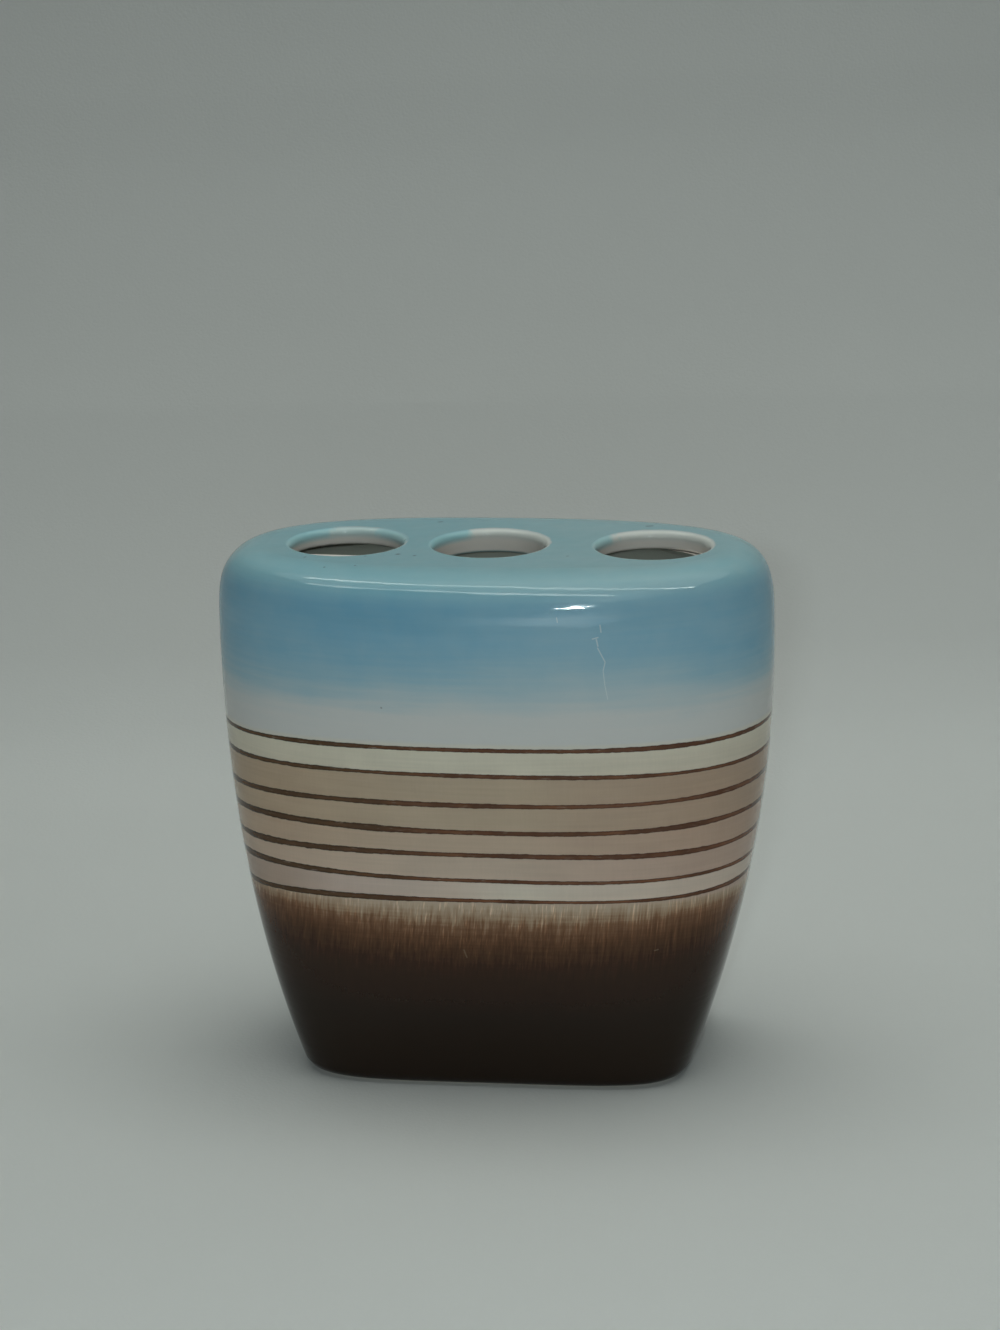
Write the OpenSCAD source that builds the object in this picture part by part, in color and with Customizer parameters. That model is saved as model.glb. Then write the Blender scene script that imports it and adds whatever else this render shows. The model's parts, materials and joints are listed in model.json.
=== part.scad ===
// Toothbrush holder for three brushes: a slip-cast earthenware vessel with a
// closed, perforated top. Oval at the shoulders, it narrows to a squarish foot.
// Three fired coats and seven painted lines lie flush in its skin, and a soft
// stopper closes the casting hole in the foot.
// Front is -Y, +X is to the right, and the origin is the middle of the foot.

/* [Body] */
// Height of the body
body_h = 105; // [98:1:125]
// Width across the shoulders, where the body is widest
shoulder_w = 110; // [104:1:140]
// Depth across the shoulders, front to back
shoulder_d = 60.5; // [58:0.5:80]
// Height of the rounded shoulder, from where the body is widest to the flat top
shoulder_h = 16.7; // [15:0.1:19]
// Width at the foot, before its edge is rounded
foot_w = 77; // [70:1:96]
// Depth at the foot, before its edge is rounded
foot_d = 47.5; // [44:0.5:60]
// How far the rounded shoulder's curve runs in at the left and right
shoulder_run_x = 14.4; // [11:0.1:16]
// How far the rounded shoulder's curve runs in at the front and back
shoulder_run_y = 16; // [12:0.5:17]
// Squareness of the shoulder's section: 2 is an even rounding, higher is tighter
bend_power = 3.7; // [2.6:0.1:4.5]
// Radius of the rounding under the foot's edge
foot_round = 2.5; // [1.5:0.25:4]
// Power of the sides' swelling curve: 1 is a straight taper, 2 a parabola
swell_power = 2.1; // [1.4:0.1:2.6]
// Squareness of the plan at the foot: 2 is an oval, higher is squarer
foot_power = 5; // [3:0.1:6]
// Squareness of the plan at the shoulders
shoulder_power = 2.2; // [2:0.1:3]
// Squareness of the plan at the edge of the flat top
top_power = 3; // [2.2:0.1:3.4]

/* [Walls] */
// Thickness of the side wall
wall_t = 4; // [3:0.25:5]
// Thickness of the top, which the brush holes pass through
top_t = 3.8; // [3.2:0.1:6]
// Thickness of the floor above the foot's recess
floor_t = 4.5; // [3.5:0.25:6]
// Radius of the rounding between the floor and the wall inside
inner_round = 7; // [4:0.5:8]

/* [Brush holes] */
// Diameter of a brush hole at its narrowest
hole_d = 22; // [18:0.5:23]
// Distance from the middle of the row to an outer hole
hole_pitch = 30.3; // [27:0.1:31]
// Sideways shift of the whole row of hand-cut holes
row_shift = 1; // [-1:0.1:1]
// Sideways shift of the middle hole alone
middle_shift = -1.9; // [-2:0.1:2]
// Radius of the soft lip round the top of a hole
lip_round = 1.4; // [0.8:0.1:1.8]
// Radius of the smaller rounding under a hole
under_round = 0.7; // [0.4:0.1:1.2]
// Width of the bare rim that the coat leaves round a hole's lip
rim_w = 0.4; // [0.2:0.1:0.8]

/* [Coats and lines] */
// Thickness of the fired coats and of the lines between them
coat_t = 0.4; // [0.3:0.05:0.6]
// Height of the brown coat's lower edge above the foot
brown_low_z = 1; // [0.6:0.1:1.4]
// Height of a painted line on the wall
line_h = 1.1; // [0.7:0.1:1.5]
// How far a line wavers up and down from the brush's unsteadiness
line_waver = 0.35; // [0:0.05:0.4]

/* [Foot] */
// Width of the bare ring that the holder stands on
foot_ring_w = 4.5; // [3:0.25:6]
// Depth of the recess inside that ring
foot_recess = 1.8; // [1.5:0.1:2.5]
// Diameter of the casting hole in the floor
casting_hole_d = 22; // [16:0.5:24]

/* [Stopper] */
// Diameter of the stopper's flange
flange_d = 28; // [26:0.5:30]
// Thickness of the flange
flange_t = 1.2; // [0.9:0.1:1.4]
// Gap between the stopper's plug and the casting hole, all round
plug_gap = 0.08; // [0.05:0.01:0.1]
// How far the plug reaches past the floor into the body
plug_reach = 1.5; // [1:0.25:3]
// Thickness of the plug's wall and end
plug_wall = 1.8; // [1.4:0.1:2.4]
// Width of the bar across the plug's mouth that a fingernail pulls
pull_bar_w = 2.6; // [2:0.1:4]
// Depth of that bar
pull_bar_h = 2.4; // [1.8:0.1:3]

/* [Hidden] */

// Overrun of a cut past the face it opens
over = 1;
// Radius of the rounding on the stopper's edges
stopper_round = 0.4;

// Corners of the plan's outline
plan_count = 48;
// Corners of the cavity's outline, which is seen only through the holes
cavity_count = 40;
// Steps round the shoulder, up the dark wall, and round the foot's edge
shoulder_count = 7;
wall_count = 6;
foot_count = 3;
// Steps up the cavity's side
cavity_steps = 8;
// Steps round a lip
lip_count = 6;
// How far a lip turns before it meets the flat top
lip_turn = 80;
// How far the shoulder turns before it meets the flat top
bend_turn = 84;

// Height of each line, from the top down, as a share of the shoulders' height
line_shares = [0.81, 0.751, 0.685, 0.625, 0.568, 0.512, 0.462];
// Height of the blue coat's lower edge, as a share of the shoulders' height
blue_low_share = 0.89;
// Each line's lift at the right end and dip at the left, as a share of the waver
line_tilt_shares = [1.2, 0.2, 1.9, 0.8, 0.7, -0.6, 2.2];
// Waves in a line's waver round the body, and how far each line's are turned
waver_waves = 3;
waver_turns = [38, 41, 78, 118, 57, 122, 81];

hole_xs = [
    row_shift - hole_pitch,
    row_shift + middle_shift,
    row_shift + hole_pitch
];
hole_r = hole_d / 2;
shoulder_z = body_h - shoulder_h;
blue_low_z = shoulder_z * blue_low_share;
rim_r = hole_r + lip_round + rim_w;
casting_r = casting_hole_d / 2;
plug_r = casting_r - plug_gap;
cavity_floor_z = foot_recess + floor_t;
cavity_roof_z = body_h - top_t;

// Share of the way from the foot's size to the shoulders' at a height
function swell(z) = 1 - pow(1 - min(z, shoulder_z) / shoulder_z, swell_power);
function mix(low, high, share) = low + (high - low) * share;
// How far the foot's rounded edge draws the outline in at a height
function foot_draw(z) =
    z >= foot_round ? 0 : foot_round - sqrt(pow(foot_round, 2) - pow(foot_round - z, 2));
// Half width, half depth and squareness of the side wall's outline at a height
function wall_plan(z, inset) = [
    mix(foot_w, shoulder_w, swell(z)) / 2 - foot_draw(z) - inset,
    mix(foot_d, shoulder_d, swell(z)) / 2 - foot_draw(z) - inset,
    mix(foot_power, shoulder_power, swell(z))
];
// Shares of the shoulder's run and rise at a turn, from 0, where the body is widest,
// to the flat top
function bend_run(turn) = 1 - pow(cos(turn), 2 / bend_power);
function bend_rise(turn) = pow(sin(turn) / sin(bend_turn), 2 / bend_power);
// Half width, half depth and squareness of the shoulder's outline at a turn
function shoulder_plan(turn, inset) = [
    shoulder_w / 2 - inset - shoulder_run_x * bend_run(turn),
    shoulder_d / 2 - inset - shoulder_run_y * bend_run(turn),
    mix(shoulder_power, top_power, bend_run(turn))
];
function signed_pow(v, power) = sign(v) * pow(abs(v), power);
// A corner of a superellipse outline, at a height
function corner(plan, angle, z) = [
    plan[0] * signed_pow(cos(angle), 2 / plan[2]),
    plan[1] * signed_pow(sin(angle), 2 / plan[2]),
    z
];

// Waver of a line at an angle round the body. Line -1 is level.
function waver(line, angle) =
    line < 0 ? 0
    : line_waver * (line_tilt_shares[line] * cos(angle)
        + sin(waver_waves * angle + waver_turns[line]));
// Height of a line's lower edge, side -1, or upper edge, side 1
function line_edge_z(line, side) = shoulder_z * line_shares[line] + side * line_h / 2;

// One outline of the side wall. A level is a height and the line it wavers with.
function wall_ring(level, inset, count = plan_count) = [
    for (i = [0:count - 1])
        let (angle = 360 * i / count, z = level[0] + waver(level[1], angle))
        corner(wall_plan(z, inset), angle, z)
];
// One outline of the shoulder, which ends at a flat top of a given height
function shoulder_ring(turn, inset, top_z, count = plan_count) = [
    for (i = [0:count - 1])
        corner(
            shoulder_plan(turn, inset), 360 * i / count,
            mix(shoulder_z, top_z, bend_rise(turn))
        )
];
function wall_rings(levels, inset) = [for (level = levels) wall_ring(level, inset)];
function shoulder_rings(inset, top_z) = [
    for (i = [0:shoulder_count])
        shoulder_ring(bend_turn * i / shoulder_count, inset, top_z)
];
function turned_round(list) = [for (i = [len(list) - 1:-1:0]) list[i]];

// Levels where each coat and line begins, steps and ends
function line_levels(line) = [
    [line_edge_z(line, -1), line],
    [line_edge_z(line, 1), line]
];
// The space between a line and the next one below it
function between_levels(line) = [
    [line_edge_z(line + 1, 1), line + 1],
    [line_edge_z(line, -1), line]
];
lowest_line = len(line_shares) - 1;
brown_top_z = line_edge_z(lowest_line, -1);
brown_levels = [
    for (i = [0:foot_count - 1])
        [mix(brown_low_z, foot_round, i / foot_count), -1],
    for (i = [0:wall_count - 1])
        [mix(foot_round, brown_top_z, i / wall_count), -1],
    [brown_top_z, lowest_line]
];
blue_levels = [[blue_low_z, -1], [(blue_low_z + shoulder_z) / 2, -1]];
// The wall between the first line and the fifth carries the tan coat
tan_lines = [1:4];

// A closed solid through rings of corners: capped at its ends, or joined end to
// end into a band where round_again is true.
module loft(rings, round_again = false) {
    count = len(rings[0]);
    last = len(rings) - (round_again ? 1 : 2);
    corners = [for (ring = rings) each ring];
    // Each four-sided patch splits along the same diagonal whichever way the rings
    // run, so that a coat's lining meets the recess that it lies in.
    sides = [
        for (j = [0:last], i = [0:count - 1])
            let (
                after = (j + 1) % len(rings),
                here = j * count,
                there = after * count,
                next = (i + 1) % count,
                step = rings[after][0] - rings[j][0]
            )
            each step[2] + step[0] > 0
                ? [
                    [here + i, there + i, there + next],
                    [here + i, there + next, here + next]
                ]
                : [
                    [here + i, there + i, here + next],
                    [there + i, there + next, here + next]
                ]
    ];
    caps = round_again ? [] : [
        [for (i = [0:count - 1]) i],
        [for (i = [count - 1:-1:0]) (len(rings) - 1) * count + i]
    ];
    polyhedron(points = corners, faces = concat(sides, caps), convexity = 6);
}

// A band that fills the skin between its first level and its last
module skin_band(levels) {
    loft(
        concat(wall_rings(levels, 0), turned_round(wall_rings(levels, coat_t))),
        round_again = true
    );
}

// The body's outline: recessed by the coats' thickness wherever one lies on it
module body_skin() {
    recessed_lines = [
        for (line = [lowest_line - 1:-1:1]) each line_levels(line)
    ];
    loft(concat(
        wall_rings([[0, -1], [brown_low_z, -1]], 0),
        wall_rings(concat(brown_levels, [line_levels(lowest_line)[1]]), coat_t),
        wall_rings(between_levels(lowest_line - 1), 0),
        wall_rings(recessed_lines, coat_t),
        wall_rings(between_levels(0), 0),
        wall_rings(line_levels(0), coat_t),
        wall_rings([line_levels(0)[1], blue_levels[0]], 0),
        wall_rings(blue_levels, coat_t),
        shoulder_rings(coat_t, body_h - coat_t)
    ));
}

// The hollow inside, with a rounded floor edge and the shoulder's own curve
module cavity() {
    round_steps = [for (i = [0:foot_count]) 90 * i / foot_count];
    loft(concat(
        [
            for (turn = round_steps)
                wall_ring(
                    [cavity_floor_z + inner_round * (1 - cos(turn)), -1],
                    wall_t + inner_round * (1 - sin(turn)),
                    cavity_count
                )
        ],
        [
            for (i = [1:cavity_steps - 1])
                wall_ring(
                    [mix(cavity_floor_z + inner_round, shoulder_z, i / cavity_steps), -1],
                    wall_t, cavity_count
                )
        ],
        [
            for (i = [0:shoulder_count])
                shoulder_ring(
                    bend_turn * i / shoulder_count, wall_t, cavity_roof_z, cavity_count
                )
        ]
    ));
}

// Half the section of a brush hole's cut: a soft lip above, a smaller round below
module hole_section() {
    lip = [
        for (i = [0:lip_count])
            let (turn = lip_turn * i / lip_count)
            [
                hole_r + lip_round * (1 - cos(turn)),
                body_h - lip_round * (1 - sin(turn))
            ]
    ];
    under = [
        for (i = [lip_count:-1:0])
            let (turn = lip_turn * i / lip_count)
            [
                hole_r + under_round * (1 - cos(turn)),
                cavity_roof_z + under_round * (1 - sin(turn))
            ]
    ];
    polygon(concat(
        [[0, body_h + over], [0, cavity_roof_z - over]],
        [[under[0][0], cavity_roof_z - over]],
        under,
        lip,
        [[lip[lip_count][0], body_h + over]]
    ));
}

// Places its children at each brush hole
module at_holes() {
    for (x = hole_xs) translate([x, 0, 0]) children();
}

module ceramic_body() {
    color("whitesmoke") difference() {
        union() {
            body_skin();
            at_holes() translate([0, 0, cavity_roof_z + coat_t])
                cylinder(r = rim_r, h = top_t - coat_t, $fn = 96);
        }
        cavity();
        at_holes() rotate_extrude($fn = 96) hole_section();
        // recess inside the foot's ring
        translate([0, 0, -over]) linear_extrude(foot_recess + over)
            polygon([
                for (point = wall_ring([0, -1], foot_ring_w, cavity_count))
                    [point[0], point[1]]
            ]);
        // casting hole
        translate([0, 0, -over])
            cylinder(r = casting_r, h = cavity_floor_z + over * 2, $fn = 96);
    }
}

module blue_glaze() {
    skin = concat(wall_rings(blue_levels, 0), shoulder_rings(0, body_h));
    lining = concat(
        wall_rings(blue_levels, coat_t),
        shoulder_rings(coat_t, body_h - coat_t)
    );
    color("cadetblue") difference() {
        loft(concat(turned_round(lining), skin));
        at_holes() translate([0, 0, cavity_roof_z])
            cylinder(r = rim_r, h = top_t + over, $fn = 96);
    }
}

module tan_glaze() {
    color("tan") for (line = tan_lines) skin_band(between_levels(line));
}

module brown_glaze() {
    color([0.2, 0.13, 0.1]) skin_band(brown_levels);
}

module brown_line(line) {
    color("saddlebrown") skin_band(line_levels(line));
}

// Half the section of the stopper: a flange and a hollow plug with a closed end
module stopper_section() {
    plug_top_z = cavity_floor_z + plug_reach;
    low_z = foot_recess - flange_t;
    flange_r = flange_d / 2;
    hollow_r = plug_r - plug_wall;
    polygon([
        [0, plug_top_z],
        [0, plug_top_z - plug_wall],
        [hollow_r - stopper_round, plug_top_z - plug_wall],
        [hollow_r, plug_top_z - plug_wall - stopper_round],
        [hollow_r, low_z + stopper_round],
        [hollow_r + stopper_round, low_z],
        [flange_r - stopper_round, low_z],
        [flange_r, low_z + stopper_round],
        [flange_r, foot_recess],
        [plug_r, foot_recess],
        [plug_r, plug_top_z - plug_wall],
        [plug_r - plug_wall / 2, plug_top_z]
    ]);
}

module base_stopper() {
    hollow_r = plug_r - plug_wall;
    color("dimgray") {
        rotate_extrude($fn = 96) stopper_section();
        // pull bar across the plug's mouth, rooted in its wall
        translate([0, 0, foot_recess - flange_t + stopper_round + pull_bar_h / 2])
            cube([(hollow_r + plug_wall / 2) * 2, pull_bar_w, pull_bar_h], center = true);
    }
}

ceramic_body();
blue_glaze();
tan_glaze();
brown_glaze();
brown_line(0);  // brown_line_1
brown_line(1);  // brown_line_2
brown_line(2);  // brown_line_3
brown_line(3);  // brown_line_4
brown_line(4);  // brown_line_5
brown_line(5);  // brown_line_6
brown_line(6);  // brown_line_7
base_stopper();
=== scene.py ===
"""The looks of a glazed toothbrush holder: its glazes, painted lines and stopper.

Sizes are in millimetres, and meshes are scaled to metres when they are built.
Front is -Y, +X is to the right, and the origin is the middle of the foot.
"""

import json
import math

import bpy
import numpy as np
from mathutils import Matrix, Quaternion, Vector
from mathutils.geometry import delaunay_2d_cdt


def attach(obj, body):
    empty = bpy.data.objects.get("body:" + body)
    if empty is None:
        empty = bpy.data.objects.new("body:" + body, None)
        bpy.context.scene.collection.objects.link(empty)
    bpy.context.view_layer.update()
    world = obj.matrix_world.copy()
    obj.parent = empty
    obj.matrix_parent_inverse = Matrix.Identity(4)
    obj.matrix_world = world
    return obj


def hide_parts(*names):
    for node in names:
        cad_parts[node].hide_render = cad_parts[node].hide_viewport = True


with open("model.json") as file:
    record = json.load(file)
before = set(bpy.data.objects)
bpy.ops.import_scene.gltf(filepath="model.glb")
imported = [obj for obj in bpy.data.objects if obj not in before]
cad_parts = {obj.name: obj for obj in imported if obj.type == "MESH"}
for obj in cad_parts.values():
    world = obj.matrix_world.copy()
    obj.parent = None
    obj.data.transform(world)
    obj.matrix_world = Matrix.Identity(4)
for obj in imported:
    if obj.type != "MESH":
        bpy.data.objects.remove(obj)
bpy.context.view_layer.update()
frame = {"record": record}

MM = 0.001

# The body's sizes
BODY_H = 105
SHOULDER_W, SHOULDER_D, SHOULDER_H = 110, 60.5, 16.7
SHOULDER_Z = BODY_H - SHOULDER_H
FOOT_W, FOOT_D = 77, 47.5
SHOULDER_RUN_X, SHOULDER_RUN_Y = 14.4, 16
FOOT_ROUND = 2.5
SWELL_POWER = 2.1
BEND_POWER = 3.7
BEND_TURN = 84
FOOT_POWER, SHOULDER_POWER, TOP_POWER = 5, 2.2, 3

# Walls, floor and foot
WALL_T = 4
ROOF_Z = 101.2
FLOOR_Z = 6.3
INNER_ROUND = 7
FOOT_RING_W, FOOT_RECESS = 4.5, 1.8
CASTING_R = 11

# Brush holes: their middles come from the record. The roof's underside lies a
# little higher or lower at each hole, as it does in a hand-finished casting.
HOLES = [m for m in frame["record"]["mounts"] if m["name"].startswith("brush_hole")]
HOLE_XS = [m["pos_m"][0] / MM for m in HOLES]
HOLE_R, LIP_ROUND, RIM_R = 11, 1.4, 12.8
LIP_FRONT = 0.8
UNDER_ROUND = 0.7
HOLE_ROOF_RISES = [0.4, -0.9, 0.1]
# The blue has run over each hole's rim left of the first place and, at the back,
# right of the second, measured from the hole's middle
BLUE_RUNS_LEFT = [-3.0, -4.5, -7.5]
BLUE_RUNS_RIGHT = [3.0, 20.0, 20.0]
# The least blue on each hole's lip, as a share of a full coat
LIP_MISTS = [0.5, 0.2, 0.2]

# Coats and painted lines
COAT_T = 0.4
BLUE_LOW_Z = SHOULDER_Z * 0.89
BROWN_LOW_Z = 1
LINE_H = 1.1
LINE_SPACING = 5
LINE_COUNT = 7
LINE_WAVER = 0.35
WAVER_WAVES = 3
LINE_SHARES = [0.81, 0.751, 0.685, 0.625, 0.568, 0.512, 0.462]
LINE_TILTS = [1.2, 0.2, 1.9, 0.8, 0.7, -0.6, 2.2]
LINE_TURNS = [38, 41, 78, 118, 57, 122, 81]
# How much thicker each line's stroke is than LINE_H at the left and at the right
LINE_SWELLS_LEFT = [0.0, 0.1, 0.0, 0.25, 0.2, -0.1, -0.2]
LINE_SWELLS_RIGHT = [0.0, -0.1, 0.1, 0.0, 0.1, 0.1, 0.1]

# Painted width of each line at the right and at the left, as a share of its height
STROKE_WIDTHS = [
    [0.80, 0.76, 0.76, 0.82, 0.82, 0.64, 0.66],
    [0.78, 0.74, 1.02, 0.93, 0.87, 1.12, 1.22],
]

# Stopper
FLANGE_R, FLANGE_T = 14, 1.2
PLUG_R, PLUG_TOP_Z, PLUG_WALL = 10.92, 7.8, 1.8
STOPPER_ROUND = 0.4
BAR_W, BAR_H, BAR_ROUND = 2.6, 2.4, 0.5

# Fineness of the meshes: points round the body and round a hole, heights of the rows
# on the wall, and rows round the bends
AROUND, AROUND_HOLE = 288, 96
ROW_H, FOOT_ROW_H, BLUE_ROW_H, HOLLOW_ROW_H = 1.4, 0.25, 1, 4
BEND_ROWS, LINING_BEND_ROWS, HOLLOW_BEND_ROWS = 40, 24, 14
LIP_ROWS, UNDER_ROWS, FLOOR_ROWS, CORNER_ROWS = 12, 6, 7, 5
BAR_AROUND, BAR_ROWS = 32, 9
# Corners of patches that are this near, in metres, become one
WELD = 1e-7

ANGLES = np.arange(AROUND) * 2 * math.pi / AROUND
HOLE_ANGLES = np.arange(AROUND_HOLE) * 2 * math.pi / AROUND_HOLE


def mix(low, high, share):
    return low + (high - low) * share


def swell(z):
    """Share of the way from the foot's size to the shoulders' at a height."""
    return 1 - (1 - np.minimum(z, SHOULDER_Z) / SHOULDER_Z) ** SWELL_POWER


def foot_draw(z):
    """How far the foot's rounded edge draws the outline in at a height."""
    below = np.clip(FOOT_ROUND - z, 0, FOOT_ROUND)
    return FOOT_ROUND - np.sqrt(FOOT_ROUND**2 - below**2)


def outline(direction, half_w, half_d, power):
    """A point of a superellipse in a direction, with even spacing round it."""
    c, s = np.cos(direction), np.sin(direction)
    reach = (np.abs(c) ** power + np.abs(s) ** power) ** (-1 / power)
    return half_w * reach * c, half_d * reach * s


def wall_form(z):
    """Half the width, half the depth and the power of the wall's outline at a height."""
    share = swell(z)
    half_w = mix(FOOT_W, SHOULDER_W, share) / 2
    half_d = mix(FOOT_D, SHOULDER_D, share) / 2
    return half_w, half_d, mix(FOOT_POWER, SHOULDER_POWER, share)


def skin(direction, level, inset=0.0, top_z=BODY_H):
    """A point of the body's skin. A level up to SHOULDER_Z is a height on the wall,
    and each unit above it is a degree of the shoulder's bend, up to BEND_TURN."""
    level = np.asarray(level, float) + 0 * direction
    wall = np.clip(level, 0, SHOULDER_Z)
    half_w, half_d, power = wall_form(wall)
    draw = foot_draw(wall)
    turn = np.radians(np.clip(level - SHOULDER_Z, 0, BEND_TURN))
    run = 1 - np.maximum(np.cos(turn), 0) ** (2 / BEND_POWER)
    rise = (np.sin(turn) / math.sin(math.radians(BEND_TURN))) ** (2 / BEND_POWER)
    half_w = half_w - draw - inset - SHOULDER_RUN_X * run
    half_d = half_d - draw - inset - SHOULDER_RUN_Y * run
    power = power + (TOP_POWER - SHOULDER_POWER) * run
    x, y = outline(direction, half_w, half_d, power)
    z = np.where(level <= SHOULDER_Z, wall, mix(SHOULDER_Z, top_z, rise))
    return np.stack([x, y, z], -1)


def stroke_angle(line, direction):
    """The angle that a line's waver follows, for a direction round the body."""
    power = wall_form(SHOULDER_Z * LINE_SHARES[line])[2]
    x, y = outline(direction, 1, 1, power)
    c = np.sign(x) * np.abs(x) ** (power / 2)
    s = np.sign(y) * np.abs(y) ** (power / 2)
    return np.arctan2(s, c)


def line_middle(line, direction):
    """The height of a line's middle, which tilts and wavers round the body."""
    angle = stroke_angle(line, direction)
    tilt = LINE_TILTS[line] * np.cos(angle)
    wave = np.sin(WAVER_WAVES * angle + math.radians(LINE_TURNS[line]))
    return SHOULDER_Z * LINE_SHARES[line] + LINE_WAVER * (tilt + wave)


def line_half(line, direction):
    """Half the height of a line, which swells and thins as the brush presses."""
    angle = stroke_angle(line, direction)
    press = mix(LINE_SWELLS_LEFT[line], LINE_SWELLS_RIGHT[line], (1 + np.cos(angle)) / 2)
    slow = 0.10 * np.sin(5 * angle + 1.7 * line)
    quick = 0.05 * np.sin(11 * angle + line)
    return LINE_H / 2 * (1 + press + slow + quick)


def line_edge(line, side):
    """The height of a line's lower edge, side -1, or upper edge, side 1."""
    return lambda direction: line_middle(line, direction) + side * line_half(line, direction)


def placed(name, data):
    """A new object in the scene."""
    made = bpy.data.objects.new(name, data)
    bpy.context.scene.collection.objects.link(made)
    return made


def new_mesh(name, points, faces, material):
    mesh = bpy.data.meshes.new(name)
    mesh.from_pydata(points, [], faces)
    mesh.materials.append(material)
    return mesh


def level_at(z):
    """The same height in every direction, as a function like line_edge's."""
    return lambda direction: z + 0 * direction


def under_skin(inset, top_z=BODY_H):
    """The surface that lies an inset under the skin, with its top at top_z."""
    return lambda direction, level: skin(direction, level, inset, top_z)


def round_point(x, direction, radius, z):
    """A point at a radius from the upright axis through x."""
    return np.stack(
        [x + radius * np.cos(direction), radius * np.sin(direction), z + 0 * direction], -1
    )


def circle(x, radius, z):
    return round_point(x, HOLE_ANGLES, radius, z)


def rims(z):
    return [circle(x, RIM_R, z) for x in HOLE_XS]


def in_hole(point, ring):
    """Whether a point lies inside a round hole, whose edge is the ring."""
    within = 0.9999
    centre = ring[:, :2].mean(0)
    radius = np.linalg.norm(ring[0, :2] - centre)
    return np.linalg.norm(point - centre) < radius * within


class Solid:
    """Gathers patches of surface, then joins them where their corners meet."""

    def __init__(self):
        self.points, self.faces, self.normals = [], [], []
        self.count = 0

    def grid(self, points, normals):
        """Rows of points that close on themselves, joined row to row."""
        rows, around = points.shape[:2]
        index = np.arange(rows * around).reshape(rows, around) + self.count
        after = np.roll(index, -1, axis=1)
        quads = np.stack([index[:-1], after[:-1], after[1:], index[1:]], -1)
        self.points.append(points.reshape(-1, 3))
        self.normals.append(normals.reshape(-1, 3))
        self.faces += quads.reshape(-1, 4).tolist()
        self.count += rows * around

    def sweep(self, surface, directions, steps):
        """A patch of surface(direction, step) over the steps, one row for each."""
        steps = [np.asarray(s, float) + 0 * directions for s in steps]
        ahead = np.sign(np.mean(steps[-1]) - np.mean(steps[0]))
        small = 1e-4
        points, normals = [], []
        for step in steps:
            across = surface(directions + small, step) - surface(directions - small, step)
            along = surface(directions, step + small) - surface(directions, step - small)
            normal = np.cross(across, along * ahead)
            length = np.linalg.norm(normal, axis=-1, keepdims=True)
            normals.append(normal / np.maximum(length, 1e-12))
            points.append(surface(directions, step))
        self.grid(np.array(points), np.array(normals))

    def turned(self, x, section):
        """A patch turned round a vertical axis at x, from (radius, z) pairs. Each
        pair starts its own straight facet, with a normal square to it."""
        for (r0, z0), (r1, z1) in zip(section, section[1:]):
            rise, run = z1 - z0, r1 - r0
            square = np.array([rise, -run]) / math.hypot(rise, run)
            self.turned_smooth(x, [(r0, z0, *square), (r1, z1, *square)])

    def turned_smooth(self, x, section):
        """The same from (radius, z, normal's radial part, normal's z part)."""
        rows = [circle(x, r, z) for r, z, _, _ in section]
        normals = [circle(0, normal_r, normal_z) for _, _, normal_r, normal_z in section]
        self.grid(np.array(rows), np.array(normals))

    def cap(self, rim, holes, facing):
        """A patch that fills a rim, apart from the holes in it."""
        loops = [np.asarray(rim)] + [np.asarray(h) for h in holes]
        corners = np.concatenate(loops)
        edges, start = [], 0
        for loop in loops:
            n = len(loop)
            edges += [(start + i, start + (i + 1) % n) for i in range(n)]
            start += n
        flat = [Vector(p[:2]) for p in corners]
        found = delaunay_2d_cdt(flat, edges, [], 1, 1e-6)
        places, triangles, origins = found[0], found[2], found[3]
        index = [o[0] if o else -1 for o in origins]
        for triangle in triangles:
            middle = sum((np.array(places[v]) for v in triangle), np.zeros(2)) / 3
            if any(in_hole(middle, ring) for ring in loops[1:]):
                continue
            face = [index[v] + self.count for v in triangle]
            self.faces.append(face if facing > 0 else face[::-1])
        self.points.append(corners)
        self.normals.append(np.tile([0.0, 0.0, float(facing)], (len(corners), 1)))
        self.count += len(corners)

    def build(self, name, material):
        """The mesh object, with its patches joined and marked for the paint."""
        points = np.concatenate(self.points) * MM
        normals = np.concatenate(self.normals)
        keys = np.round(points / WELD).astype(np.int64)
        _, first, same = np.unique(keys, axis=0, return_index=True, return_inverse=True)
        same = same.reshape(-1)
        faces, loop_normals = [], []
        for face in self.faces:
            corners = [int(same[v]) for v in face]
            if len(set(corners)) < len(corners):
                corners, face = drop_repeats(corners, face)
            if len(corners) < 3:
                continue
            faces.append(corners)
            loop_normals += [normals[v] for v in face]
        mesh = new_mesh(name, points[first].tolist(), faces, material)
        mesh.polygons.foreach_set("use_smooth", [True] * len(faces))
        mesh.normals_split_custom_set(loop_normals)
        for label, values in skin_marks(points[first] / MM).items():
            mesh.attributes.new(label, "FLOAT", "POINT").data.foreach_set("value", values)
        mesh.update()
        return placed(name, mesh)


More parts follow.
